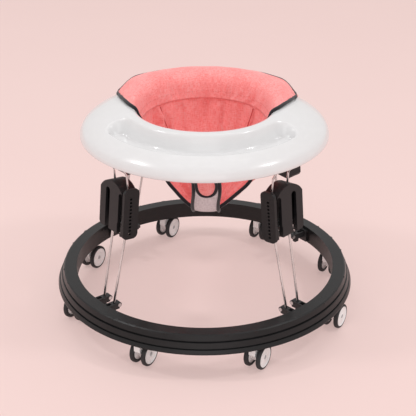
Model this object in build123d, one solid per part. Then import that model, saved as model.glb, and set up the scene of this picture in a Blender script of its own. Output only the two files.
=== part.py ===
"""Round baby walker: ring base on swivel casters, folding wire legs, height blocks, tray and fabric seat.

Frame: origin on the floor under the centre of the base ring, +Z up, the child faces -Y (the front).
Each leg is drawn in its own frame: t along the ring's tangent, rho outwards from the centre, z up.
The front-left leg is drawn, turned into place, and mirrored for the other three.
"""
import math
import os

from build123d import *

# ---------------------------------------------------------------- driving dimensions, millimetres
# base ring: an upside-down channel
RING_OUTER_R = 300.0
RING_INNER_R = 261.5
RING_TOP_Z = 90.5
RING_BOTTOM_Z = 55.6
RING_WALL = 3.0

# casters
CASTER_COUNT = 8
CASTER_CIRCLE_R = 279.0
CASTER_TRAIL = 13.0
CASTER_TURN_DEG = -27.4          # direction in which all the casters trail at rest
WHEEL_R = 25.0
WHEEL_WIDTH = 9.5
WHEEL_OFFSET = 12.7              # wheel centre from the caster's mid-plane
FORK_THICKNESS = 13.0
AXLE_R = 2.5
STEM_R = 4.0
STEM_TOP_Z = 84.0
SOCKET_R = 9.0
RUNNING_GAP = 0.06               # radial clearance of pins and shafts

# legs
LEG_ANGLE = 49.0                 # from the walker's front or back centre line
PIVOT_RHO = 226.0                # foot pivot and tray pivot stand at the same radius
FOOT_Z = 76.0
TRAY_PIVOT_Z = 388.0
KNEE_RHO = 209.0
KNEE_Z = (FOOT_Z + TRAY_PIVOT_Z) / 2
WIRE_R = 2.5                     # lower leg wire
UPPER_WIRE_R = 2.0
WIRE_T = (-12.0, 30.0)           # the two wires' places along the tangent at the knee
FOOT_WIRE_T = (-16.0, 17.0)
FOOT_WIRE_RHO = 238.0
FOOT_WIRE_Z = 63.0
FOOT_PIN_R = 2.0
SLEEVE_W = 7.6
EAR_W = 2.6

# height block
BLOCK_T = (-37.0, 43.0)
BLOCK_DEPTH = 33.0
BLOCK_MID_Z = 264.0
BLOCK_MID_RHO = 205.5
BLOCK_BOTTOM_Z = 229.0
BLOCK_SHOULDER_Z = 312.0
BLOCK_ARCH_Z = 327.0
BLOCK_LEAN_DEG = 5.5
STRIP_T = 6.0                    # thickness of the end wall that carries the notches
STRIP_Z = (222.0, 322.0)
CAVITY_RHO = (197.6, 214.8)
CAVITY_T = (-33.5, 37.0)
CAVITY_TOP_Z = 308.5
SLOT_W = 13.0
SLOT_Z = (245.0, 311.0)
WIRE_SLIT_T = (21.8, 33.6)       # the splayed wire crosses this much while the block slides
NOTCH_COUNT = 9                  # lock positions from the rest position upwards
LOWER_NOTCHES = 2
NOTCH_PITCH = 7.0
LOCK_RHO = 210.0
LOCK_Z = 246.5
SHOE_T = (0.0, 18.0)
SHOE_RHO = (198.0, 214.4)
SHOE_Z = (225.5, 252.0)

# tray
TRAY_R = 240.0
TRAY_RIM_Z = 374.0
TRAY_WALL = 3.0
TROUGH_MID_R = 180.5
TROUGH_HALF_W = 24.5
TROUGH_END_DEG = 57.0
TROUGH_FLOOR_Z = 398.0

# seat
SEAT_TOP_R = 126.0
SEAT_CLOTH = 4.0
STRAP_HALF_W = 27.5
LEG_HOLE_R = 47.0
LEG_HOLE_Z = 285.0
LEG_HOLE_DEG = 40.0

os.makedirs("parts", exist_ok=True)


def save(name, shape):
    """Write one node."""
    shape.label = name
    export_step(shape, f"parts/{name}.step")


def group(solids):
    """Several separate solids as one node."""
    return Compound(children=list(solids))


def polar(radius, angle_deg):
    """Point at an angle from the front (-Y) towards +X."""
    a = math.radians(angle_deg)
    return radius * math.sin(a), -radius * math.cos(a)


def revolved(points):
    """Solid of revolution about Z from a closed outline of (r, z) points."""
    outline = Polyline(*[(r, 0, z) for r, z in points], close=True)
    return revolve(make_face(outline), Axis.Z, 360)


def box_between(low, high):
    """Box from its lowest to its highest corner."""
    size = [b - a for a, b in zip(low, high)]
    middle = [(a + b) / 2 for a, b in zip(low, high)]
    return Pos(*middle) * Box(*size)


# ---------------------------------------------------------------- base
def base_ring():
    """Channel ring with three stepped outer bands, caster sockets and ribs."""
    outer = [
        (RING_INNER_R, RING_BOTTOM_Z), (RING_INNER_R, RING_TOP_Z), (284.5, RING_TOP_Z), (287.0, 89.0),
        (290.0, 79.5), (287.6, 78.6), (288.0, 76.8), (292.3, 76.4), (295.2, 66.8), (292.8, 65.9),
        (293.4, 64.2), (297.2, 63.8), (RING_OUTER_R, 57.5), (RING_OUTER_R, RING_BOTTOM_Z),
    ]
    inner = [
        (RING_INNER_R + RING_WALL, RING_BOTTOM_Z - 1), (RING_INNER_R + RING_WALL, RING_TOP_Z - RING_WALL),
        (282.5, RING_TOP_Z - RING_WALL), (285.0, 77.0), (290.0, 64.0), (294.5, 60.0),
        (296.5, RING_BOTTOM_Z - 1),
    ]
    ring = revolved(outer) - revolved(inner)
    socket_bottom = 60.5
    socket_height = RING_TOP_Z - 1 - socket_bottom
    for k in range(CASTER_COUNT):
        x, y = polar(CASTER_CIRCLE_R, 22.5 + 45 * k)
        ring += Pos(x, y, socket_bottom + socket_height / 2) * Cylinder(SOCKET_R, socket_height)
        ring -= Pos(x, y, 70) * Cylinder(STEM_R + RUNNING_GAP, 2 * (STEM_TOP_Z + 1 - 70))
    rib = box_between((-1.2, -(RING_OUTER_R - 12), 64.0), (1.2, -(RING_INNER_R + 1), RING_TOP_Z - 1))
    for k in range(2 * CASTER_COUNT):
        ring += Rot(0, 0, 11.25 + 22.5 * k) * rib
    return ring


def foot_bracket():
    """Two clevises on a plate against the ring's inner wall, drawn in the leg frame."""
    plate = box_between((-30, -(RING_INNER_R - 0.2), 58), (30, -(RING_INNER_R - 6.5), 84))
    wall = Pos(0, 0, 73) * Cylinder(RING_INNER_R, 60)
    bracket = plate & wall
    for middle in FOOT_WIRE_T:
        for side in (-1, 1):
            t = middle + side * (SLEEVE_W / 2 + 0.2 + EAR_W / 2)
            low = (t - EAR_W / 2, -(RING_INNER_R - 4), FOOT_Z - 8)
            bracket += box_between(low, (t + EAR_W / 2, -PIVOT_RHO, FOOT_Z + 4.5))
            bracket += Pos(t, -PIVOT_RHO, FOOT_Z) * Rot(0, 90, 0) * Cylinder(5.2, EAR_W)
    return bracket - Pos(0, -PIVOT_RHO, FOOT_Z) * Rot(0, 90, 0) * Cylinder(FOOT_PIN_R, 80)


def foot_pins():
    """Two short rivets, one through each clevis, with a head on each side."""
    pins = []
    grip = SLEEVE_W + 2 * EAR_W + 0.4
    for middle in FOOT_WIRE_T:
        pin = Pos(middle, -PIVOT_RHO, FOOT_Z) * Rot(0, 90, 0) * Cylinder(FOOT_PIN_R, grip)
        for side in (-1, 1):
            head = middle + side * (grip / 2 + 0.5)
            pin += Pos(head, -PIVOT_RHO, FOOT_Z) * Rot(0, 90, 0) * Cylinder(3.6, 1.0)
        pins.append(pin)
    return group(pins)


# ---------------------------------------------------------------- casters
def caster_place(k):
    """Location of caster k, turned the way it trails."""
    x, y = polar(CASTER_CIRCLE_R, 22.5 + 45 * k)
    return Pos(x, y, 0) * Rot(0, 0, CASTER_TURN_DEG)


def caster_fork():
    """Plate between the two wheels, with a collar under the ring."""
    plane = Plane.YZ
    lower = Pos(CASTER_TRAIL, WHEEL_R) * Circle(11.0)
    upper = Pos(0, 44.0) * Rectangle(20.0, 16.0)
    web = make_hull(lower.edges() + upper.edges())
    fork = extrude(plane * web, FORK_THICKNESS / 2, both=True)
    fork += Pos(0, 0, 55.5) * Cylinder(8.0, 9.0)
    fork -= Pos(0, 0, 54.0) * Cylinder(STEM_R, 20.0)
    fork -= Pos(0, CASTER_TRAIL, WHEEL_R) * Rot(0, 90, 0) * Cylinder(AXLE_R, 40)
    return fork


def caster_pins():
    """Steel stem and wheel axle."""
    stem_low = 44.0
    stem = Pos(0, 0, (stem_low + STEM_TOP_Z) / 2) * Cylinder(STEM_R, STEM_TOP_Z - stem_low)
    axle = Pos(0, CASTER_TRAIL, WHEEL_R) * Rot(0, 90, 0) * Cylinder(AXLE_R, 2 * WHEEL_OFFSET + 5)
    return group([stem, axle])


def caster_wheel(side):
    """Over-moulded wheel: rounded tread, recessed disc, blind bore from the inner face."""
    half = WHEEL_WIDTH / 2
    outline = [
        (0, -half), (8, -half), (9, -half + 1), (18, -half + 1), (20, -half), (WHEEL_R - 2.2, -half),
        (WHEEL_R - 0.5, -half + 1.6), (WHEEL_R, -half + 3.2), (WHEEL_R, half - 3.2),
        (WHEEL_R - 0.5, half - 1.6), (WHEEL_R - 2.2, half), (20, half), (18.5, half - 1.2),
        (6, half - 0.4), (4.5, half), (0, half),
    ]
    wheel = revolved(outline)
    bore_depth = WHEEL_WIDTH - 2.0
    wheel -= Pos(0, 0, -half + bore_depth / 2) * Cylinder(AXLE_R + RUNNING_GAP, bore_depth)
    turn = Rot(0, 90 * side, 0)
    return Pos(side * WHEEL_OFFSET, CASTER_TRAIL, WHEEL_R) * turn * wheel


# ---------------------------------------------------------------- legs, drawn in the leg frame
def leg_point(t, rho, z):
    """Leg frame to drawing frame."""
    return Vector(t, -rho, z)


def wire(points, radius, bend):
    """Round wire along straight runs with equal bends."""
    path = FilletPolyline(*points, radius=bend)
    start = Plane(origin=path @ 0, z_dir=path % 0)
    return sweep(start * Circle(radius), path=path)


def lower_leg_wire():
    """Inverted U of steel wire: the top rung is the knee pin, the ends sit in the foot block."""
    points = [
        leg_point(FOOT_WIRE_T[0], FOOT_WIRE_RHO, FOOT_WIRE_Z), leg_point(WIRE_T[0], KNEE_RHO, KNEE_Z),
        leg_point(WIRE_T[1], KNEE_RHO, KNEE_Z), leg_point(FOOT_WIRE_T[1], FOOT_WIRE_RHO, FOOT_WIRE_Z),
    ]
    return wire(points, WIRE_R, 5.0)


def foot_sleeves():
    """Plastic sleeve on each lower end of the wire, with an eye that turns on the foot pin."""
    sleeves = []
    for middle in FOOT_WIRE_T:
        low, high = middle - SLEEVE_W / 2, middle + SLEEVE_W / 2
        eye = Pos(middle, -PIVOT_RHO, FOOT_Z) * Rot(0, 90, 0) * Cylinder(5.2, SLEEVE_W)
        eye += box_between((low, -(FOOT_WIRE_RHO + 4), FOOT_Z - 5.2), (high, -PIVOT_RHO, FOOT_Z + 4.5))
        eye += box_between((low, -(FOOT_WIRE_RHO + 5), 60), (high, -(FOOT_WIRE_RHO - 5), FOOT_Z))
        eye -= Pos(middle, -PIVOT_RHO, FOOT_Z) * Rot(0, 90, 0) * Cylinder(FOOT_PIN_R + RUNNING_GAP, 20)
        sleeves.append(eye - lower_leg_wire())
    return group(sleeves)


def knee_shoe():
    """Slider inside the height block: it holds the knee rung and the lock wire."""
    shoe = box_between((SHOE_T[0], -SHOE_RHO[1], SHOE_Z[0]), (SHOE_T[1], -SHOE_RHO[0], SHOE_Z[1]))
    shoe -= Pos(9, -KNEE_RHO, KNEE_Z) * Rot(0, 90, 0) * Cylinder(WIRE_R + RUNNING_GAP, 40)
    return shoe - Pos(9, -LOCK_RHO, LOCK_Z) * Rot(0, 90, 0) * Cylinder(UPPER_WIRE_R, 40)


def lock_wire():
    """Straight spring wire that drops into the notches."""
    low, high = -20.0, CAVITY_T[1] - 0.6
    return Pos((low + high) / 2, -LOCK_RHO, LOCK_Z) * Rot(0, 90, 0) * Cylinder(UPPER_WIRE_R, high - low)


def lean(shape):
    """Lean a shape about the block's middle so that its foot stands further out."""
    pivot = Pos(0, -BLOCK_MID_RHO, BLOCK_MID_Z)
    return pivot * Rot(-BLOCK_LEAN_DEG, 0, 0) * pivot.inverse() * shape


def block_outline():
    """Face of the block seen along the radius: straight sides, arched top, in (t, z)."""
    left, right = BLOCK_T[0], BLOCK_T[1] - STRIP_T
    middle = (left + right) / 2
    bottom = Polyline(
        (left, BLOCK_SHOULDER_Z - 6), (left, BLOCK_BOTTOM_Z + 6), (left + 4, BLOCK_BOTTOM_Z),
        (right, BLOCK_BOTTOM_Z), (right, BLOCK_SHOULDER_Z - 6),
    )
    top = ThreePointArc((right, BLOCK_SHOULDER_Z - 6), (middle, BLOCK_ARCH_Z), (left, BLOCK_SHOULDER_Z - 6))
    return make_face(bottom + top)


def height_block():
    """Hollow block: open-bottomed slots in its outer face and a notched wall at one end."""
    outline = Plane.XZ.offset(BLOCK_MID_RHO) * block_outline()
    block = extrude(outline, BLOCK_DEPTH / 2, both=True)
    strip_mid = (STRIP_Z[0] + STRIP_Z[1]) / 2
    strip_face = Plane.YZ.offset(BLOCK_T[1] - STRIP_T) * Pos(-BLOCK_MID_RHO, strip_mid)
    strip = extrude(strip_face * RectangleRounded(BLOCK_DEPTH, STRIP_Z[1] - STRIP_Z[0], 10.0), STRIP_T)
    block += strip
    for k in range(-LOWER_NOTCHES, NOTCH_COUNT):
        z = LOCK_Z + NOTCH_PITCH * k
        block -= Pos(BLOCK_T[1] - STRIP_T / 2, -(BLOCK_MID_RHO + 1.5), z) * Box(STRIP_T + 2, 5.0, 4.0)
    outer_cut = BLOCK_MID_RHO + 4
    for t in WIRE_T:
        middle = (SLOT_Z[0] + SLOT_Z[1]) / 2
        slot_face = Plane.XZ.offset(outer_cut) * Pos(t, middle)
        slot = slot_face * SlotOverall(SLOT_Z[1] - SLOT_Z[0], SLOT_W, rotation=90)
        block -= extrude(slot, 20)
    block = lean(block)
    front_low = BLOCK_BOTTOM_Z - 12
    for t_low, t_high in ((WIRE_T[0] - SLOT_W / 2, WIRE_T[0] + SLOT_W / 2), WIRE_SLIT_T):
        block -= box_between((t_low, -240, front_low), (t_high, -LOCK_RHO, LOCK_Z + 6))
    block -= box_between(
        (CAVITY_T[0], -CAVITY_RHO[1], front_low), (CAVITY_T[1], -CAVITY_RHO[0], CAVITY_TOP_Z))
    return block - upper_leg_wire()


def upper_leg_wire():
    """U of thinner wire from the block's top to the tray: its top rung is the tray pin."""
    low = CAVITY_TOP_Z + 3
    bend_z = TRAY_PIVOT_Z - 42
    points = [
        leg_point(WIRE_T[0], 201, low), leg_point(WIRE_T[0], 203, bend_z),
        leg_point(WIRE_T[0], PIVOT_RHO, TRAY_PIVOT_Z), leg_point(WIRE_T[1], PIVOT_RHO, TRAY_PIVOT_Z),
        leg_point(WIRE_T[1], 203, bend_z), leg_point(WIRE_T[1], 201, low),
    ]
    return wire(points, UPPER_WIRE_R, 5.0)


# ---------------------------------------------------------------- tray
TRAY_TOP = [
    (TRAY_R, TRAY_RIM_Z), (239.0, 381.0), (232.5, 392.0), (215.0, 404.5), (190.0, 417.0), (160.0, 427.0),
    (145.0, 429.0), (134.5, 426.0), (129.5, 415.0), (130.0, 400.0),
]
TRAY_UNDER = [
    (TRAY_R - TRAY_WALL, TRAY_RIM_Z), (236.0, 380.3), (230.2, 389.9), (213.5, 401.8), (188.9, 414.1),
    (159.4, 424.0), (145.0, 425.9), (136.8, 423.6), (132.6, 414.5), (133.0, 400.0),
]


def curve(points):
    """Smooth curve through (r, z) points in the XZ plane."""
    return Spline(*[(r, 0, z) for r, z in points])


def tray_section(top, under):
    """Closed wall section between two curves."""
    ends = [Line((top[i][0], 0, top[i][1]), (under[i][0], 0, under[i][1])) for i in (0, -1)]
    return make_face(curve(top) + ends[0] + curve(under) + ends[1])


def tray_fill():
    """Section of everything under the tray's top surface."""
    return make_face(curve(TRAY_TOP) + Polyline((130, 0, 400), (130, 0, 374), (TRAY_R, 0, 374)))


def trough_plan(grow):
    """Curved band with round ends seen from above; grow widens it all round."""
    half = TROUGH_HALF_W + grow
    band = Circle(TROUGH_MID_R + half) - Circle(TROUGH_MID_R - half)
    edge = polar(RING_OUTER_R, TROUGH_END_DEG)
    wedge = make_face(Polyline((0, 0), edge, (0, -2 * RING_OUTER_R), (-edge[0], edge[1]), close=True))
    plan = band & wedge
    for side in (-1, 1):
        plan += Pos(*polar(TROUGH_MID_R, side * TROUGH_END_DEG)) * Circle(half)
    return plan


def tray_shell():
    """Domed ring tray with a curved trough round the front."""
    shell = revolve(tray_section(TRAY_TOP, TRAY_UNDER), Axis.Z, 360)
    dome = revolve(tray_fill(), Axis.Z, 360)
    basin = extrude(Plane.XY.offset(TROUGH_FLOOR_Z - TRAY_WALL) * trough_plan(TRAY_WALL), 40)
    shell += basin & dome
    return shell - extrude(Plane.XY.offset(TROUGH_FLOOR_Z) * trough_plan(0), 60, taper=-3)


def tray_clip(gap):
    """Saddle under the tray that holds an upper leg's rung."""
    t_low, t_high = 1.0, 17.0
    clip = Pos((t_low + t_high) / 2, -PIVOT_RHO, TRAY_PIVOT_Z) * Rot(0, 90, 0) * Cylinder(5.2, t_high - t_low)
    near, far = -(PIVOT_RHO - 17), -(PIVOT_RHO + 1)
    arm = box_between((t_low, far, TRAY_PIVOT_Z - 4), (t_high, near, TRAY_PIVOT_Z + 5))
    dome_under = [(r, z - 0.2) for r, z in TRAY_UNDER]
    clip = clip + arm
    reach = revolve(make_face(curve(dome_under) + Polyline(
        (133.0, 0, 399.8), (133.0, 0, 370), (TRAY_R - TRAY_WALL, 0, 370),
        (TRAY_R - TRAY_WALL, 0, TRAY_RIM_Z - 0.2))), Axis.Z, 360)
    clip = clip & reach
    return clip - Pos(9, -PIVOT_RHO, TRAY_PIVOT_Z) * Rot(0, 90, 0) * Cylinder(UPPER_WIRE_R + gap, 40)


# ---------------------------------------------------------------- seat
def seat_cone(inset):
    """Round funnel of the hanging seat, shrunk all round by inset."""
    top_z = 400 if inset else 399
    outline = [
        (0, top_z), (SEAT_TOP_R - inset, top_z), (118 - inset, 345), (98 - inset, 300), (73 - inset, 259),
        (50 - inset, 230 + inset / 2), (38 - inset, 218 + inset / 2), (22 - inset, 211 + inset),
        (0, 209 + inset),
    ]
    return revolved(outline)


def leg_holes():
    """Two round holes towards the front, one each side of the strap."""
    holes = []
    for side in (-1, 1):
        turn = Pos(0, 0, LEG_HOLE_Z) * Rot(0, 0, side * LEG_HOLE_DEG) * Rot(90, 0, 0)
        holes.append(turn * Pos(0, 0, 75) * Cylinder(LEG_HOLE_R, 150))
    return holes


def strap_zone(half_width, back_y):
    """Front middle strip that becomes the crotch strap."""
    return box_between((-half_width, -200, 190), (half_width, back_y, 401))


def rear_pad():
    """Padded cover over the back of the tray, about 1 mm above it, cut slanting at its two ends."""
    top = [
        (121.5, 402), (121.5, 425), (132, 441), (150, 447), (175, 443), (198, 434), (211, 423), (212, 412),
    ]
    under = [
        (212, 407.4), (190, 418.1), (160, 428.1), (145, 430.1), (133.6, 426.9), (128.6, 415), (129.1, 402),
    ]
    edge = Line((top[-1][0], 0, top[-1][1]), (under[0][0], 0, under[0][1]))
    lip = Line((under[-1][0], 0, under[-1][1]), (top[0][0], 0, top[0][1]))
    pad = revolve(make_face(curve(top) + edge + curve(under) + lip), Axis.Z, 360)
    ends = [(300, -300), (300, 110), (183, 110), (167, 55), (150, 12), (137, -17), (118, -10)]
    front = make_face(Polyline(*ends, *[(-x, y) for x, y in reversed(ends)], close=True))
    return pad - extrude(Plane.XY.offset(425) * front, 60, both=True)


def seat_clips():
    """Hooks under the tray's inner lip that the seat cloth is buttoned to."""
    clips = []
    for k in range(6):
        hook = box_between((-6, -137.5, 391), (6, -133.4, 409))
        hook += box_between((-6, -134, 391), (6, -127.2, 394))
        clips.append(Rot(0, 0, 30 + 60 * k) * hook)
    return clips


# ---------------------------------------------------------------- write the nodes
def place_leg(shape, corner):
    """Turn a leg-frame shape to the front left, then mirror it to its corner."""
    placed = Rot(0, 0, -LEG_ANGLE) * shape
    if "right" in corner:
        placed = mirror(placed, about=Plane.YZ)
    if "rear" in corner:
        placed = mirror(placed, about=Plane.XZ)
    return placed


CORNERS = ["front_left", "front_right", "rear_left", "rear_right"]

save("base_ring", base_ring())
bracket = foot_bracket()
rivets = foot_pins()
save("foot_brackets", group(place_leg(bracket, c) for c in CORNERS))
save("foot_pins", group(place_leg(rivets, c) for c in CORNERS))

fork = caster_fork()
pins = caster_pins()
wheels = {"left": caster_wheel(-1), "right": caster_wheel(1)}
for k in range(CASTER_COUNT):
    place = caster_place(k)
    save(f"caster_{k + 1}_fork", place * fork)
    save(f"caster_{k + 1}_pins", place * pins)
    for side, wheel in wheels.items():
        save(f"caster_{k + 1}_wheel_{side}", place * wheel)

leg_pieces = {
    "lower_wire": lower_leg_wire(),
    "foot_sleeves": foot_sleeves(),
    "height_block": height_block(),
    "upper_wire": upper_leg_wire(),
}
shoe_pieces = group([knee_shoe(), lock_wire()])
for corner in CORNERS:
    for name, piece in leg_pieces.items():
        save(f"{corner}_{name}", place_leg(piece, corner))
    save(f"{corner}_knee_shoe", place_leg(shoe_pieces, corner))

save("tray_shell", tray_shell())
hinge_clips = [place_leg(tray_clip(RUNNING_GAP if c == "front_left" else 0.5), c) for c in CORNERS]
save("tray_clips", group(hinge_clips + seat_clips()))
cloth = seat_cone(0) - seat_cone(SEAT_CLOTH)
save("seat_cloth", cloth - leg_holes() - strap_zone(STRAP_HALF_W + 0.1, -4.9))
save("crotch_strap", cloth & strap_zone(STRAP_HALF_W, -5.0))
save("seat_rear_pad", rear_pad())
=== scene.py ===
"""Looks of the round baby walker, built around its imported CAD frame.

Shapes are drawn in millimetres and turned into metres by mesh_object(). Frame: origin on the floor
under the centre of the base ring, +Z up, the child faces -Y (the front).
"""
import math
import random

import bmesh
import bpy
import numpy as np
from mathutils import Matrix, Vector


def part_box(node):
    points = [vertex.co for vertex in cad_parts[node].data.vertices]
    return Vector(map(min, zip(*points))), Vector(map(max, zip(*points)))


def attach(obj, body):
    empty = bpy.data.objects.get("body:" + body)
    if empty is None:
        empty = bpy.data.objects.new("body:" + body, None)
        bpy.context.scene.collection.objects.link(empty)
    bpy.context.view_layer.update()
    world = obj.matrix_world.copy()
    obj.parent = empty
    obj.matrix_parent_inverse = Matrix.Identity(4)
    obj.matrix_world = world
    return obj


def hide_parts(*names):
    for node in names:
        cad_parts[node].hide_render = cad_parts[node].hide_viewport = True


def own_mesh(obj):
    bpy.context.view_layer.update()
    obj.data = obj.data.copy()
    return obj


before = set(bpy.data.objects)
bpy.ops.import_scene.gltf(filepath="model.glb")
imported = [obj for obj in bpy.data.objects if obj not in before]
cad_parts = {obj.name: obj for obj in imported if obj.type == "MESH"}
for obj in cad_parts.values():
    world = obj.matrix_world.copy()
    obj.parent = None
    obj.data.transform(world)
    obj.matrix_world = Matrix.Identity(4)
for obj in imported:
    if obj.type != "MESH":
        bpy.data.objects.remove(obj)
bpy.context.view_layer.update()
MM = 0.001


def corners_mm(node):
    """Lowest and highest corner of a CAD node, in millimetres."""
    low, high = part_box(node)
    return [c / MM for c in low], [c / MM for c in high]


# ---------------------------------------------------------------- sizes read from the frame, millimetres
TRAY_LOW, TRAY_HIGH = corners_mm("tray_shell")
TRAY_R = TRAY_HIGH[0]
RIM_Z = TRAY_LOW[2]
TRAY_TOP_Z = TRAY_HIGH[2]
CLOTH_R, _, CLOTH_TOP_Z = corners_mm("seat_cloth")[1]
PAD_R = corners_mm("seat_rear_pad")[1][1]
STRAP_HALF_W = corners_mm("crotch_strap")[1][0]
WHEEL_D = corners_mm("caster_1_wheel_left")[1][2]
CASTERS = range(1, 9)
CORNERS = ["front_left", "front_right", "rear_left", "rear_right"]


# ---------------------------------------------------------------- mesh helpers
def mesh_object(name, points_mm, faces, uv=None):
    """Object from points in millimetres; uv gives one metric (u, v) pair for each point."""
    mesh = bpy.data.meshes.new(name)
    mesh.from_pydata([tuple(c * MM for c in p) for p in points_mm], [], faces)
    if uv is not None:
        layer = mesh.uv_layers.new(name="weave")
        for loop in mesh.loops:
            layer.data[loop.index].uv = [c * MM for c in uv[loop.vertex_index]]
    mesh.polygons.foreach_set("use_smooth", [True] * len(mesh.polygons))
    mesh.validate()
    obj = bpy.data.objects.new(name, mesh)
    bpy.context.scene.collection.objects.link(obj)
    return obj


def outward(obj):
    """Make the faces' normals agree and point outwards."""
    bm = bmesh.new()
    bm.from_mesh(obj.data)
    bmesh.ops.recalc_face_normals(bm, faces=bm.faces)
    bm.to_mesh(obj.data)
    bm.free()
    return obj


def grid_faces(rows, columns, closed=False, first=0, flip=False):
    """Quads between neighbouring rows of a grid of points."""
    faces = []
    last = columns if closed else columns - 1
    for i in range(rows - 1):
        for j in range(last):
            k = (j + 1) % columns
            quad = [first + i * columns + j, first + i * columns + k,
                    first + (i + 1) * columns + k, first + (i + 1) * columns + j]
            faces.append(quad[::-1] if flip else quad)
    return faces


def lathe(name, profile, centre, axis, segments=48, ring=False):
    """Closed solid of revolution from (radius, height) points along an axis; a ring has an open middle."""
    axis = Vector(axis).normalized()
    side = axis.orthogonal().normalized()
    across = axis.cross(side)
    points = []
    for radius, height in profile:
        for j in range(segments):
            a = 2 * math.pi * j / segments
            spoke = side * math.cos(a) + across * math.sin(a)
            points.append(Vector(centre) + axis * height + spoke * radius)
    faces = grid_faces(len(profile), segments, closed=True)
    last = (len(profile) - 1) * segments
    if ring:
        faces += [[last + j, last + (j + 1) % segments, (j + 1) % segments, j] for j in range(segments)]
    else:
        faces += [list(range(segments))[::-1], list(range(last, last + segments))]
    return outward(mesh_object(name, points, faces))


def tube(name, path, radius, closed=False, sides=10):
    """Round tube along points; its frame turns as little as it can."""
    path = [Vector(p) for p in path]
    count = len(path)
    tangents = []
    for i in range(count):
        before = path[(i - 1) % count] if closed or i else path[i]
        after = path[(i + 1) % count] if closed or i < count - 1 else path[i]
        tangents.append((after - before).normalized())
    side = tangents[0].orthogonal().normalized()
    points = []
    for point, tangent in zip(path, tangents):
        side = (side - tangent * side.dot(tangent)).normalized()
        across = tangent.cross(side)
        for j in range(sides):
            a = 2 * math.pi * j / sides
            points.append(point + (side * math.cos(a) + across * math.sin(a)) * radius)
    faces = grid_faces(count, sides, closed=True)
    if closed:
        last = (count - 1) * sides
        faces += [[last + j, last + (j + 1) % sides, (j + 1) % sides, j] for j in range(sides)]
    else:
        faces.append(list(range(sides))[::-1])
        faces.append([(count - 1) * sides + j for j in range(sides)])
    return outward(mesh_object(name, points, faces))


def joined(name, objects):
    """Several objects' meshes as one object."""
    points, faces = [], []
    for obj in objects:
        first = len(points)
        points += [v.co / MM for v in obj.data.vertices]
        faces += [[first + i for i in p.vertices] for p in obj.data.polygons]
        bpy.data.objects.remove(obj)
    return mesh_object(name, points, faces)


def shell_of(name, outer, inner, rows, columns, uv):
    """Closed cloth from an outer and an inner grid joined round the border."""
    size = rows * columns
    faces = grid_faces(rows, columns)
    faces += grid_faces(rows, columns, first=size, flip=True)
    border = [j for j in range(columns)] + [i * columns + columns - 1 for i in range(1, rows)]
    border += [(rows - 1) * columns + j for j in range(columns - 2, -1, -1)]
    border += [i * columns for i in range(rows - 2, 0, -1)]
    for a, b in zip(border, border[1:] + border[:1]):
        faces.append([a, b, b + size, a + size])
    return outward(mesh_object(name, outer + inner, faces, uv + uv)), set(border)


def ease(x):
    """Smooth step from 0 to 1."""
    x = min(1.0, max(0.0, x))
    return x * x * (3 - 2 * x)


def through(points, count):
    """Smooth curve through points, as count points evenly spaced by parameter."""
    p = [np.array(q, float) for q in points]
    p = [2 * p[0] - p[1]] + p + [2 * p[-1] - p[-2]]
    spans = len(p) - 3
    out = []
    for i in range(count):
        t = spans * i / (count - 1)
        k = min(int(t), spans - 1)
        u = t - k
        a, b, c, d = p[k:k + 4]
        out.append(0.5 * (2 * b + (c - a) * u + (2 * a - 5 * b + 4 * c - d) * u ** 2
                          + (3 * b - a - 3 * c + d) * u ** 3))
    return out


def evenly(points, count):
    """The same line with count points spaced evenly along its length."""
    p = np.array(points, float)
    reach = np.concatenate([[0], np.cumsum(np.linalg.norm(np.diff(p, axis=0), axis=1))])
    at = np.linspace(0, reach[-1], count)
    return np.stack([np.interp(at, reach, p[:, k]) for k in range(p.shape[1])], 1)


def polar(radius, angle_deg, z):
    """Point at an angle from the back (+Y) towards +X."""
    a = math.radians(angle_deg)
    return Vector((radius * math.sin(a), radius * math.cos(a), z))


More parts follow.
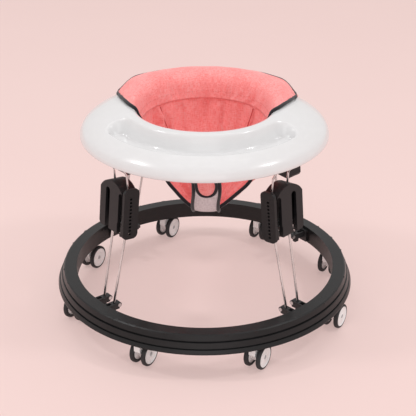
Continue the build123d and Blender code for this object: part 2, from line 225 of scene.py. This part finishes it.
# ---------------------------------------------------------------- material helpers
class Paint:
    """A Principled material whose nodes are added by short calls."""

    def __init__(self, name, colour, roughness, **sockets):
        self.material = bpy.data.materials.new(name)
        self.material.use_nodes = True
        self.tree = self.material.node_tree
        self.shader = self.tree.nodes["Principled BSDF"]
        self.shader.inputs["Base Color"].default_value = (*colour, 1)
        self.shader.inputs["Roughness"].default_value = roughness
        for socket, value in sockets.items():
            self.shader.inputs[socket.replace("_", " ")].default_value = value
        self.coords = self.tree.nodes.new("ShaderNodeTexCoord")

    def link(self, out, socket):
        self.tree.links.new(out, socket)

    def math(self, operation, a, b=0.0, clamp=False):
        node = self.tree.nodes.new("ShaderNodeMath")
        node.operation = operation
        node.use_clamp = clamp
        for socket, value in zip(node.inputs, (a, b)):
            if isinstance(value, (int, float)):
                socket.default_value = value
            else:
                self.link(value, socket)
        return node.outputs[0]

    def noise(self, scale, detail=3.0, stretch=(1, 1, 1), source="Object"):
        mapping = self.tree.nodes.new("ShaderNodeMapping")
        mapping.inputs["Scale"].default_value = stretch
        self.link(self.coords.outputs[source], mapping.inputs["Vector"])
        node = self.tree.nodes.new("ShaderNodeTexNoise")
        node.inputs["Scale"].default_value = scale
        node.inputs["Detail"].default_value = detail
        self.link(mapping.outputs[0], node.inputs["Vector"])
        return node.outputs["Fac"]

    def ramp(self, value, stops):
        node = self.tree.nodes.new("ShaderNodeValToRGB")
        elements = node.color_ramp.elements
        while len(elements) < len(stops):
            elements.new(0.5)
        for element, (place, colour) in zip(elements, stops):
            element.position = place
            element.color = (*colour, 1) if len(colour) == 3 else colour
        self.link(value, node.inputs[0])
        return node.outputs[0]

    def grey(self, value, low, high, start=0.3, end=0.7):
        return self.ramp(value, [(start, (low,) * 3), (end, (high,) * 3)])

    def mix(self, factor, a, b):
        node = self.tree.nodes.new("ShaderNodeMix")
        node.data_type = "RGBA"
        self.link(factor, node.inputs["Factor"])
        for socket, value in ((node.inputs[6], a), (node.inputs[7], b)):
            if isinstance(value, tuple):
                socket.default_value = (*value, 1)
            else:
                self.link(value, socket)
        return node.outputs[2]

    def axis(self, index, source="Object"):
        node = self.tree.nodes.new("ShaderNodeSeparateXYZ")
        self.link(self.coords.outputs[source], node.inputs[0])
        return node.outputs[index]

    def colour(self, out):
        self.link(out, self.shader.inputs["Base Color"])

    def rough(self, out):
        self.link(out, self.shader.inputs["Roughness"])

    def bump(self, height, strength, distance_mm):
        node = self.tree.nodes.new("ShaderNodeBump")
        node.inputs["Strength"].default_value = strength
        node.inputs["Distance"].default_value = distance_mm * MM
        self.link(height, node.inputs["Height"])
        if self.shader.inputs["Normal"].is_linked:
            self.link(self.shader.inputs["Normal"].links[0].from_socket, node.inputs["Normal"])
        self.link(node.outputs[0], self.shader.inputs["Normal"])


def weave_height(paint, pitch_mm):
    """Plain weave over metric UVs: warp over weft in a checker of pitch_mm squares."""
    k = math.pi / (pitch_mm * MM)
    u = paint.math("SINE", paint.math("MULTIPLY", paint.axis(0, "UV"), k))
    v = paint.math("SINE", paint.math("MULTIPLY", paint.axis(1, "UV"), k))
    over = paint.math("GREATER_THAN", paint.math("MULTIPLY", u, v), 0.0)
    warp = paint.math("MULTIPLY", paint.math("ABSOLUTE", u), over)
    weft = paint.math("MULTIPLY", paint.math("ABSOLUTE", v), paint.math("SUBTRACT", 1.0, over))
    return paint.math("ADD", warp, weft)


def fabric(name, dark, mid, light, pitch_mm=1.3):
    """Heathered woven fabric: streaky threads, plain weave bump, soft sheen."""
    paint = Paint(name, mid, 0.86, Sheen_Weight=0.25, Sheen_Roughness=0.5, Specular_IOR_Level=0.25)
    across = paint.noise(420, 2, (1, 0.22, 1), "UV")
    along = paint.noise(420, 2, (0.22, 1, 1), "UV")
    threads = paint.math("MULTIPLY", paint.math("ADD", across, along), 0.5)
    cloudy = paint.noise(16, 3, source="UV")
    tone = paint.math("ADD", paint.math("MULTIPLY", threads, 0.75), paint.math("MULTIPLY", cloudy, 0.25))
    paint.colour(paint.ramp(tone, [(0.36, dark), (0.5, mid), (0.64, light)]))
    paint.rough(paint.grey(threads, 0.78, 0.95))
    paint.bump(weave_height(paint, pitch_mm), 0.35, 0.35)
    paint.bump(threads, 0.25, 0.3)
    return paint.material


def moulded(name, dark, light, roughness, grain_mm=0.5, grain=0.2, coat=0.0, shine=0.5, wear=1.0):
    """Moulded plastic: fine grain, slow changes of tone and polish, rubbed patches as strong as wear."""
    paint = Paint(name, dark, roughness, Coat_Weight=coat, Coat_Roughness=0.03, Specular_IOR_Level=shine)
    slow = paint.noise(9, 4)
    fine = paint.noise(1 / (grain_mm * MM), 2)
    rubbed = paint.noise(55, 6, (1, 1, 3))
    paint.colour(paint.mix(paint.grey(rubbed, 0, 1, 0.45, 0.78), paint.mix(slow, dark, light), light))
    patchy = paint.math("ADD", paint.math("MULTIPLY", slow, 0.6), paint.math("MULTIPLY", rubbed, 0.4))
    paint.rough(paint.grey(patchy, roughness - 0.06 * wear, roughness + 0.1 * wear))
    paint.bump(fine, grain, 0.12)
    return paint.material


def steel(name, roughness, dark_below_mm=None):
    """Drawn, plated steel; below a height its colour fades to near black."""
    paint = Paint(name, (0.72, 0.73, 0.74), roughness, Metallic=1.0)
    drawn = paint.noise(700, 3, (1, 1, 0.04))
    stain = paint.noise(30, 4)
    tone = paint.grey(stain, 0.58, 0.8)
    # colour is near black below dark_below_mm and fades back to steel over the 22 mm above it
    if dark_below_mm:
        above = paint.math("SUBTRACT", paint.axis(2), dark_below_mm * MM)
        high = paint.math("MULTIPLY", above, 1 / (22 * MM), True)
        tone = paint.mix(high, (0.05, 0.05, 0.055), tone)
    paint.colour(tone)
    paint.rough(paint.grey(drawn, roughness - 0.08, roughness + 0.14))
    paint.bump(drawn, 0.12, 0.05)
    return paint.material


CORAL = [(0.88, 0.20, 0.195), (0.98, 0.31, 0.30), (1.0, 0.44, 0.43)]
MATERIALS = {
    "coral": fabric("coral_weave", *CORAL),
    "grey_cloth": fabric("grey_weave", (0.52, 0.47, 0.49), (0.67, 0.61, 0.63), (0.79, 0.74, 0.76), 1.0),
    "piping": fabric("black_piping", (0.006, 0.006, 0.008), (0.014, 0.014, 0.018), (0.03, 0.03, 0.036), 0.9),
    "thread": fabric("coral_thread", (0.50, 0.06, 0.06), (0.62, 0.09, 0.09), (0.72, 0.14, 0.13), 0.5),
    "tray": moulded("white_gloss_plastic", (0.70, 0.70, 0.705), (0.74, 0.74, 0.745), 0.24,
                     9.0, 0.003, coat=0.5, wear=0.15),
    "ring": moulded("ring_black_plastic", (0.006, 0.006, 0.006), (0.014, 0.014, 0.015), 0.30,
                     0.6, 0.2, shine=0.3),
    "block": moulded("block_black_plastic", (0.005, 0.005, 0.006), (0.011, 0.011, 0.012), 0.42,
                      0.4, 0.4, shine=0.35),
    "black": moulded("small_black_plastic", (0.012, 0.012, 0.013), (0.024, 0.024, 0.026), 0.45, 0.4, 0.3),
    "white": moulded("white_caster_plastic", (0.78, 0.78, 0.78), (0.86, 0.86, 0.86), 0.28,
                     1.2, 0.1, coat=0.3),
    "hub_grey": moulded("hub_grey_plastic", (0.30, 0.30, 0.31), (0.42, 0.42, 0.43), 0.4, 0.8, 0.1),
    "rubber": moulded("tyre_rubber", (0.010, 0.010, 0.011), (0.022, 0.022, 0.024), 0.62, 0.3, 0.5),
    "wire": steel("leg_wire_steel", 0.2, dark_below_mm=72),
    "pins": steel("pin_steel", 0.3),
}


def finish_piece(obj, paint, body, replaces=()):
    """Material, body and the CAD nodes that a piece stands for."""
    obj.data.materials.clear()
    obj.data.materials.append(MATERIALS[paint])
    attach(obj, body)
    if replaces:
        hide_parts(*replaces)
    return obj


# ---------------------------------------------------------------- cloth simulation
def puff(obj, pinned, pressure, spare, cap_mm, frames=20):
    """Let a closed fabric form swell and crumple; pinned points stay and none moves past cap_mm."""
    rest = np.array([v.co for v in obj.data.vertices])
    held = obj.vertex_groups.new(name="held")
    held.add([i for i, hold in enumerate(pinned) if hold], 1.0, "REPLACE")
    modifier = obj.modifiers.new("cloth", "CLOTH")
    cloth = modifier.settings
    cloth.quality = 6
    cloth.mass = 0.3
    cloth.tension_stiffness = 12
    cloth.compression_stiffness = 12
    cloth.bending_stiffness = 0.6
    cloth.use_pressure = True
    cloth.uniform_pressure_force = pressure
    cloth.shrink_min = -spare
    cloth.effector_weights.gravity = 0
    cloth.vertex_group_mass = "held"
    modifier.collision_settings.use_collision = False
    modifier.point_cache.frame_start = 1
    modifier.point_cache.frame_end = frames
    scene = bpy.context.scene
    for step in range(1, frames + 1):
        scene.frame_set(step)
    shown = obj.evaluated_get(bpy.context.evaluated_depsgraph_get())
    moved = np.array([v.co for v in shown.data.vertices])
    obj.modifiers.remove(modifier)
    obj.vertex_groups.remove(held)
    scene.frame_set(1)
    step = moved - rest
    length = np.linalg.norm(step, axis=1, keepdims=True)
    step *= np.minimum(1.0, cap_mm * MM / np.maximum(length, 1e-9))
    obj.data.vertices.foreach_set("co", (rest + step).astype(np.float32).ravel())
    obj.data.update()


def folds(seed, count, span, width):
    """Sum of soft ridges at random places on a line from 0 to span, as a function of place."""
    rng = random.Random(seed)
    ridges = [(rng.uniform(0, span), rng.uniform(0.6, 1.4) * width, rng.uniform(-1, 1)) for _ in range(count)]

    def height(x):
        return sum(h * math.exp(-((x - c) / w) ** 2) for c, w, h in ridges)
    return height


# ---------------------------------------------------------------- tray
TRAY_PROFILE = [
    (TRAY_R, RIM_Z), (TRAY_R - 1, RIM_Z + 7), (TRAY_R - 7.5, RIM_Z + 18), (TRAY_R - 25, RIM_Z + 30.5),
    (TRAY_R - 50, RIM_Z + 43), (TRAY_R - 80, RIM_Z + 53), (TRAY_R - 95, TRAY_TOP_Z),
    (TRAY_R - 105.5, TRAY_TOP_Z - 3), (TRAY_R - 110.5, TRAY_TOP_Z - 14), (TRAY_R - 110, TRAY_TOP_Z - 29),
]
TROUGH_FLOOR_Z = 398.0
TROUGH_MID_R = 180.5
TROUGH_HALF_W = 26.0
TROUGH_END_DEG = 57.0
TROUGH_EDGE = 15.0                               # width of the trough's soft edge
TRAY_WALL = 3.0


def trough_depth(x, y):
    """Share of the trough's depth at a place seen from above: 0 outside, 1 on its floor."""
    radius = math.hypot(x, y)
    past_end = max(0.0, math.degrees(math.atan2(abs(x), -y)) - TROUGH_END_DEG)
    reach = math.radians(past_end) * TROUGH_MID_R
    inside = TROUGH_HALF_W - math.hypot(radius - TROUGH_MID_R, reach)
    return ease(inside / TROUGH_EDGE)


def tray():
    """Domed ring with a curved trough round its front and rolled lips."""
    columns = 360
    line = evenly(through(TRAY_PROFILE, 200), 74)
    top = []
    for radius, z in line:
        for j in range(columns):
            p = polar(radius, 360 * j / columns, z)
            deep = trough_depth(p.x, p.y)
            p.z = z - deep * max(0.0, z - TROUGH_FLOOR_Z)
            top.append(p)
    draft = mesh_object("tray_outer", top, grid_faces(len(line), columns, closed=True))
    normals = [v.normal.copy() for v in draft.data.vertices]
    if normals[len(normals) // 2].z < 0:
        normals = [-n for n in normals]
    bpy.data.objects.remove(draft)
    under = [p - n * TRAY_WALL for p, n in zip(top, normals)]
    lips = []
    for edge in (0, len(line) - 1):
        for j in range(columns):
            a, b = top[edge * columns + j], under[edge * columns + j]
            lips.append((a + b) / 2 - Vector((0, 0, 1.2)))
    points = top + under + lips
    rows = len(line)
    faces = grid_faces(rows, columns, closed=True)
    faces += grid_faces(rows, columns, closed=True, first=rows * columns, flip=True)
    for edge, first in ((0, 2 * rows * columns), (rows - 1, 2 * rows * columns + columns)):
        for j in range(columns):
            k = (j + 1) % columns
            for start in (edge * columns, (rows + edge) * columns):
                faces.append([start + j, start + k, first + k, first + j])
    obj = outward(mesh_object("tray_moulding", points, faces))
    finish_piece(obj, "tray", "tray", ["tray_shell"])


# ---------------------------------------------------------------- padded cover over the tray's back
COVER_TOP = [
    (PAD_R - 94, 396.5), (PAD_R - 92.5, 412), (PAD_R - 88, 430), (PAD_R - 78, 442), (PAD_R - 61, 446.5),
    (PAD_R - 38, 443), (PAD_R - 16, 434.5), (PAD_R - 2, 425.5), (PAD_R + 0.5, 417), (PAD_R - 1, 408.5),
]
COVER_UNDER = [
    (PAD_R - 91.3, 396), (PAD_R - 90.8, 401), (PAD_R - 83.4, 415), (PAD_R - 78.4, 426.9),
    (PAD_R - 67, 430.1), (PAD_R - 52, 428.1), (PAD_R - 22, 418.1), (PAD_R - 2, 407.8),
]
COVER_END = [                                    # radius, and angle from the back where the cover ends
    (119, 101), (128, 104), (136, 102), (142, 98.5), (148, 93.5), (158, 85), (177, 72.7), (194, 66.5),
    (PAD_R, 61),
]
COVER_ROWS, COVER_COLUMNS = 52, 150
PIPING_ROW = 42
PIPING_R = 3.6


def cover_end(radius, along):
    """Angle from the back at which the cover's slanting end meets a radius; the corner is rounded."""
    radii, angles = zip(*COVER_END)
    corner = PIPING_ROW / (COVER_ROWS - 1)
    return float(np.interp(radius, radii, angles)) - 2.0 * ease((along - corner + 0.08) / 0.08) ** 2


def cover_points():
    """Top and under grids of the cover, as rows along the section and columns round the back."""
    high = evenly(through(COVER_TOP, 120), COVER_ROWS)
    low = evenly(through(COVER_UNDER, 120), COVER_ROWS)
    pucker = folds(4, 46, 400.0, 6.0)
    swell = folds(9, 16, 400.0, 22.0)
    top, under, uv = [], [], []
    for i in range(COVER_ROWS):
        along = i / (COVER_ROWS - 1)
        for j in range(COVER_COLUMNS):
            t = 2 * j / (COVER_COLUMNS - 1) - 1
            angle = t * cover_end(low[i][0], along)
            base = polar(low[i][0], angle, low[i][1])
            crown = polar(high[i][0], angle, high[i][1])
            thick = 0.25 + 0.75 * ease((1 - abs(t)) / 0.3)
            place = base.lerp(crown, thick)
            arc = math.radians(angle) * PAD_R
            inner = math.exp(-((along - 0.1) / 0.24) ** 2)
            lift = 3.4 * pucker(arc + 200) * inner + 0.9 * swell(arc + 200) * math.sin(math.pi * along)
            lift *= ease((1 - abs(t)) / 0.06) * ease(along * 12) * ease((1 - along) * 8)
            top.append(place + (crown - base).normalized() * lift)
            under.append(base)
            uv.append((arc, along * 150))
    return top, under, uv


def rear_cover():
    """Padded cover with piping round its outer edge and slanting ends, and a stitched row inside it."""
    top, under, uv = cover_points()
    columns, rows = COVER_COLUMNS, COVER_ROWS
    size = rows * columns
    obj, edge = shell_of("rear_cover", top, under, rows, columns, uv)
    held = [i >= size or i in edge or i // columns == PIPING_ROW for i in range(2 * size)]
    puff(obj, held, 2.0, 0.03, 2.0)
    shown = [v.co / MM for v in obj.data.vertices][:size]
    finish_piece(obj, "coral", "tray", ["seat_rear_pad"])

    sides = [[(shown[i * columns + j] + under[i * columns + j]) / 2 for i in range(1, PIPING_ROW)]
             for j in (0, columns - 1)]
    back = [shown[PIPING_ROW * columns + j] for j in range(2, columns - 2)]
    piping = tube("rear_cover_piping", evenly(sides[0] + back + sides[1][::-1], 300), PIPING_R, sides=12)
    finish_piece(piping, "piping", "tray")
    line = [shown[5 * columns + j] for j in range(4, columns - 4)]
    finish_piece(stitches("rear_cover_stitches", [line], 3.4, 0.35), "thread", "tray")


def stitches(name, lines, pitch, radius):
    """Short thread dashes along lines of points."""
    dashes = []
    for line in lines:
        length = sum((b - a).length for a, b in zip(line, line[1:]))
        spots = [Vector(p) for p in evenly(line, max(4, int(length / pitch)) * 3)]
        for k in range(0, len(spots) - 2, 3):
            dashes.append(tube(f"{name}_dash", spots[k:k + 2], radius, sides=6))
    return joined(name, dashes)


# ---------------------------------------------------------------- hanging seat
SEAT_PROFILE = [
    (CLOTH_R - 1.5, CLOTH_TOP_Z + 1), (CLOTH_R - 4, 375), (116, 345), (97, 300), (88, 280), (72, 259),
    (50, 231), (38, 219), (24, 212.5), (6, 210.5),
]
SEAT_LINE = np.array(through(SEAT_PROFILE, 300))
SEAT_EVEN = evenly(SEAT_LINE, 400)
HOLE_TOP_Z = 334.0
SEAT_EDGE_Y = -37.0
CLOTH_THICK = 3.6


def seat_radius(z):
    """Outer radius of the hanging seat at a height."""
    return float(np.interp(-z, -SEAT_LINE[:, 1], SEAT_LINE[:, 0]))


def sag_drift(z):
    """How far the hanging seat has shifted sideways at a height."""
    return 9.0 * ease((350 - z) / 50) - 5.0 * ease((290 - z) / 60)


def seat_row(along):
    """Radius and height of the seat's outline, from its rim (0) to its bottom (1)."""
    return SEAT_EVEN[int(round(along * (len(SEAT_EVEN) - 1)))]


def seat_point(angle_deg, along, inset):
    """Point on the seat at an angle from the back, inset from its outer face."""
    radius, z = seat_row(along)
    p = polar(radius - inset, angle_deg, z)
    p.x += sag_drift(z)
    return p


def edge_angle(radius):
    """Angle from the back at which the rear panel ends, where it meets the plane of the leg holes' edge."""
    share = min(0.985, -SEAT_EDGE_Y / max(radius, 1.0))
    return 180.0 - math.degrees(math.acos(share))


def crumple(piece, paint, nodes=()):
    """Finish a piece of the hanging seat: it rides on the tray and gets a mesh of its own."""
    finish_piece(piece, paint, "tray", nodes)
    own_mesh(piece)


def seam_angle(z):
    """Angle from the back of the rear panel's two seams at a height."""
    return 50.0 - (CLOTH_TOP_Z - z) * 0.12


def seam_dip(arc_mm, centre_mm):
    """Depth of a sewn seam across a place."""
    return 1.5 * math.exp(-((arc_mm - centre_mm) / 2.2) ** 2)


def rear_panel():
    """Back of the hanging seat, from the rim down to the bottom, with two seams and hanging folds."""
    rows, columns = 64, 168
    hang = folds(21, 38, 420.0, 7.0)
    soft = folds(5, 14, 420.0, 26.0)
    outer, inner, uv = [], [], []
    for i in range(rows):
        along = i / (rows - 1)
        z = seat_row(along)[1]
        radius = seat_radius(z)
        limit = edge_angle(radius)
        seams = [math.radians(side * seam_angle(z)) * CLOTH_R for side in (-1, 1)]
        for j in range(columns):
            t = 2 * j / (columns - 1) - 1
            angle = t * limit
            spread = math.radians(angle) * CLOTH_R
            down = ease(along / 0.12) * (1 - ease((along - 0.75) / 0.25))
            wave = (7.0 * hang(spread + 210 + 12 * along) + 1.5 * soft(spread + 210)) * down
            calm = min(abs(spread - seam) for seam in seams)
            wave *= ease((1 - abs(t)) / 0.07) * ease(calm / 9)
            dip = sum(seam_dip(spread, seam) for seam in seams) * ease(z / 30 - 8)
            top = 1.2 * math.exp(-(along / 0.02) ** 2)
            outer.append(seat_point(angle, along, 0.4 - wave * 0.6 + top))
            inner.append(seat_point(angle, along, min(radius - 1, CLOTH_THICK - wave - dip)))
            uv.append((math.radians(angle) * max(radius, 40), along * 270))
    obj, border = shell_of("seat_rear_panel", outer, inner, rows, columns, uv)
    size = rows * columns
    held = [i % size in border or i % size >= (rows - 12) * columns for i in range(2 * size)]
    puff(obj, held, 0.6, 0.02, 1.5)
    crumple(obj, "coral", ["seat_cloth"])
    lines = []
    for side in (-1, 1):
        line = []
        for i in range(2, 44):
            along = i / (rows - 1)
            beside = seam_angle(seat_row(along)[1]) + 1.6
            line.append(seat_point(side * beside, along, CLOTH_THICK + 1.0))
        lines.append(line)
    crumple(stitches("seat_seam_stitches", lines, 3.2, 0.35), "thread")
    for name, line in zip(("left", "right"), lines):
        welt = [p + Vector((0, -0.4, 0.0)) for p in line]
        crumple(tube(f"seat_seam_{name}", evenly(welt, 60), 0.9, sides=8), "thread")


def hole_arch(t):
    """How far the front panel's lower edge arches up at t, from its middle (0) to its ends (1 or -1)."""
    return 10.0 * (1 - min(1.0, abs(abs(t) - 0.62) / 0.38) ** 2)


def front_bib():
    """Front of the seat above the leg holes."""
    rows, columns = 26, 96
    outer, inner, uv = [], [], []
    waves = folds(31, 18, 320.0, 9.0)
    for i in range(rows):
        z = CLOTH_TOP_Z + 1 + (HOLE_TOP_Z - CLOTH_TOP_Z - 1) * i / (rows - 1)
        for j in range(columns):
            t = 2 * j / (columns - 1) - 1
            radius = seat_radius(z)
            angle = 180 - t * (180 - edge_angle(radius) + 1.0)
            spread = t * 150
            arch = hole_arch(t) * i / (rows - 1)
            wave = waves(spread + 160) * 1.2 * math.sin(math.pi * i / (rows - 1))
            for inset, points in ((0.2 - wave * 0.5, outer), (CLOTH_THICK - wave, inner)):
                p = polar(radius - inset, angle, z + arch)
                p.x += sag_drift(z)
                points.append(p)
            uv.append((spread, i * 3.0))
    obj, _ = shell_of("seat_front_panel", outer, inner, rows, columns, uv)
    crumple(obj, "coral")


def strap_path():
    """Middle line of the strap, from the front panel down and under the seat, as (y, z)."""
    line = [(-seat_radius(z), z) for z in np.linspace(348, 224, 30)]
    line += [(-30, 215), (-20, 209), (-6, 206.5)]
    return evenly(line, 64)


def strap_panel(name, half_width, top, bottom, lift, thick):
    """Part of the strap between two shares of its length, as a closed cloth."""
    rows, columns = 40, 17
    path = strap_path()
    outer, inner, uv = [], [], []
    for i in range(rows):
        along = top + (bottom - top) * i / (rows - 1)
        at = along * (len(path) - 1)
        k = min(int(at), len(path) - 2)
        y, z = path[k] + (path[k + 1] - path[k]) * (at - k)
        ahead = (path[k + 1] - path[k]) / np.linalg.norm(path[k + 1] - path[k])
        out = Vector((0, ahead[1], -ahead[0]))
        out = out if out.y < 0 or out.z < 0 else -out
        half = half_width(i / (rows - 1))
        for j in range(columns):
            t = 2 * j / (columns - 1) - 1
            x = t * half
            bow = 5.0 * (x / STRAP_HALF_W) ** 2
            crown = lift + 0.8 * (1 - t * t)
            place = Vector((x + sag_drift(z), y, z)) + Vector((0, bow, 0))
            outer.append(place + out * crown)
            inner.append(place + out * (lift - thick))
            uv.append((x, along * 150))
    return shell_of(name, outer, inner, rows, columns, uv)[0], outer, rows, columns


def crotch_strap():
    """Strap between the leg holes: grey cloth with a coral tongue over its top, both edged in black."""
    base, outer, rows, columns = strap_panel("strap_grey_panel", lambda share: STRAP_HALF_W - 2.5,
                                             0.0, 1.0, 0.4, 3.4)
    crumple(base, "grey_cloth", ["crotch_strap"])
    for name, column in (("left", 0), ("right", columns - 1)):
        path = [outer[i * columns + column] for i in range(rows)]
        edge = tube(f"strap_piping_{name}", evenly(path, 70), PIPING_R, sides=10)
        crumple(edge, "piping")

    def tongue_half(s):
        return 22.5 - 6.0 * s if s < 0.55 else 19.2 * max(0.0, 1 - ((s - 0.55) / 0.45) ** 2.6) ** 0.5 + 0.3
    tongue, outer, rows, columns = strap_panel("strap_tongue", tongue_half, 0.0, 0.42, 2.6, 2.2)
    crumple(tongue, "coral")
    left = [outer[i * columns] for i in range(rows)]
    right = [outer[i * columns + columns - 1] for i in range(rows)]
    edge = tube("strap_tongue_piping", evenly(left + right[::-1], 90), PIPING_R - 0.3, sides=10)
    crumple(edge, "piping")


def leg_hole_piping():
    """Black piping round each leg hole: down the rear panel's edge and back along the front panel."""
    for side, name in ((-1, "left"), (1, "right")):
        path = []
        for z in np.linspace(HOLE_TOP_Z + 2, 226, 40):
            radius = seat_radius(z)
            p = polar(radius - 1.5, side * edge_angle(radius), z)
            p.x += sag_drift(z)
            path.append(p)
        top = []
        for t in np.linspace(0.2, 1.0, 30):
            radius = seat_radius(HOLE_TOP_Z)
            angle = 180 - t * (180 - edge_angle(radius) + 1.0)
            p = polar(radius - 1.5, side * angle, HOLE_TOP_Z + hole_arch(t))
            p.x += sag_drift(HOLE_TOP_Z)
            top.append(p)
        edge = tube(f"leg_hole_piping_{name}", evenly(top + path[1:], 120), PIPING_R, sides=10)
        crumple(edge, "piping")


# ---------------------------------------------------------------- casters
WHEEL_HALF = 4.75                                # half of a wheel's width


def wheel_profile(points):
    """Profile with heights measured down from the wheel's outer face."""
    return [(radius, WHEEL_HALF - below) for radius, below in points]


TYRE = wheel_profile([
    (18.2, 8.1), (19.4, 9.2), (21.5, 9.5), (23.4, 9.0), (24.6, 7.8), (WHEEL_D / 2, 6.4), (WHEEL_D / 2, 3.1),
    (24.6, 1.7), (23.4, 0.5), (21.6, 0.05), (20.4, 0.5), (20.0, 1.4),
])
DISC = wheel_profile([
    (0.1, 9.5), (6, 9.5), (6.5, 8.5), (18.4, 8.0), (19.0, 2.2), (19.9, 1.2), (20.1, 0.3), (19.6, 0),
    (18.9, 0.2), (18.3, 1.1), (16.5, 1.6), (13, 1.5), (9, 1.2), (7.2, 1.0), (6.6, 0.5), (6.0, 0.15),
    (5.2, 0.1), (4.6, 0.5), (4.2, 1.1), (0.1, 1.2),
])
CAP = wheel_profile([(0.1, 1.6), (3.8, 1.6), (3.9, 0.8), (3.3, 0.3), (1.6, 0.1), (0.1, 0.05)])


def caster_wheels():
    """Rubber tyre, white domed disc and grey cap for each of the sixteen wheels."""
    for k in CASTERS:
        centres = {}
        for side in ("left", "right"):
            low, high = corners_mm(f"caster_{k}_wheel_{side}")
            centres[side] = Vector([(a + b) / 2 for a, b in zip(low, high)])
        axle = (centres["right"] - centres["left"]).normalized()
        for side, sign in (("left", -1), ("right", 1)):
            body, place, out = f"caster_{k}_wheel_{side}", centres[side], axle * sign
            tyre = lathe(f"caster_{k}_tyre_{side}", TYRE, place, out, 56, ring=True)
            finish_piece(tyre, "rubber", body, [body])
            disc = lathe(f"caster_{k}_disc_{side}", DISC, place, out, 56)
            finish_piece(disc, "white", body)
            cap = lathe(f"caster_{k}_cap_{side}", CAP, place, out, 24)
            finish_piece(cap, "hub_grey", body)


# ---------------------------------------------------------------- carried-over CAD nodes
def paint_node(node, paint, bevel_mm=0.0):
    """Material for a CAD node, and a small bevel on its sharp edges where one is asked for."""
    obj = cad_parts[node]
    obj.data.materials.clear()
    obj.data.materials.append(MATERIALS[paint])
    if bevel_mm:
        weld = obj.modifiers.new("weld", "WELD")
        weld.merge_threshold = 0.00002
        bevel = obj.modifiers.new("bevel", "BEVEL")
        bevel.width = bevel_mm * MM
        bevel.segments = 2
        bevel.limit_method = "ANGLE"
        bevel.angle_limit = math.radians(50)


def paint_frame():
    """Materials for the CAD nodes that show as they are."""
    paint_node("base_ring", "ring")
    paint_node("foot_brackets", "black")
    paint_node("foot_pins", "pins")
    paint_node("tray_clips", "black")
    for k in CASTERS:
        paint_node(f"caster_{k}_fork", "white")
        paint_node(f"caster_{k}_pins", "pins")
    for corner in CORNERS:
        paint_node(f"{corner}_lower_wire", "wire")
        paint_node(f"{corner}_upper_wire", "wire")
        paint_node(f"{corner}_foot_sleeves", "black")
        paint_node(f"{corner}_height_block", "block", bevel_mm=0.8)
        paint_node(f"{corner}_knee_shoe", "pins")


# ---------------------------------------------------------------- stage
def stage():
    """Pale floor, two softboxes over the sides, broad front, top and low lights, and the camera."""
    floor_paint = Paint("pale_floor", (0.5, 0.39, 0.37), 0.9, Emission_Color=(1.0, 0.75, 0.71, 1),
                        Emission_Strength=0.385, Specular_IOR_Level=0.1)
    floor_paint.colour(floor_paint.mix(floor_paint.noise(2.0, 2), (0.49, 0.375, 0.36), (0.51, 0.395, 0.38)))
    floor = mesh_object("floor", [(-9000, -9000, 0), (9000, -9000, 0), (9000, 9000, 0), (-9000, 9000, 0)],
                        [[0, 1, 2, 3]])
    floor.data.materials.append(floor_paint.material)

    world = bpy.data.worlds.new("studio")
    world.use_nodes = True
    world.node_tree.nodes["Background"].inputs[0].default_value = (1.0, 0.97, 0.96, 1)
    world.node_tree.nodes["Background"].inputs[1].default_value = 0.80
    bpy.context.scene.world = world
    lamps = [
        ("softbox_left", (-1.63, -0.34, 2.42), 0.34, 11.5),
        ("softbox_right", (1.72, -0.34, 2.36), 0.34, 11.5),
        ("front_light", (0.2, -2.6, 2.2), 2.2, 5.0),
        ("top_light", (0.0, 0.6, 3.4), 2.4, 7.5),
        ("low_fill", (0.1, -2.2, 0.75), 1.4, 4.0),
    ]
    for name, place, size, power in lamps:
        lamp = bpy.data.lights.new(name, "AREA")
        lamp.shape = "SQUARE"
        lamp.size = size
        lamp.energy = power
        obj = bpy.data.objects.new(name, lamp)
        obj.location = place
        obj.rotation_mode = "QUATERNION"
        obj.rotation_quaternion = (Vector((0, 0, 0.25)) - Vector(place)).to_track_quat("-Z", "Y")
        bpy.context.scene.collection.objects.link(obj)

    camera = bpy.data.cameras.new("camera")
    camera.lens = 92.8
    camera.sensor_width = 36.0
    view = bpy.data.objects.new("camera", camera)
    view.location = (0.1107, -1.9249, 1.1636)
    view.rotation_mode = "QUATERNION"
    view.rotation_quaternion = Vector((-0.0483, 0.8944, -0.4447)).to_track_quat("-Z", "Y")
    bpy.context.scene.collection.objects.link(view)
    bpy.context.scene.camera = view
    bpy.context.scene.view_settings.view_transform = "Standard"


stage()
paint_frame()
tray()
rear_cover()
rear_panel()
front_bib()
crotch_strap()
leg_hole_piping()
caster_wheels()
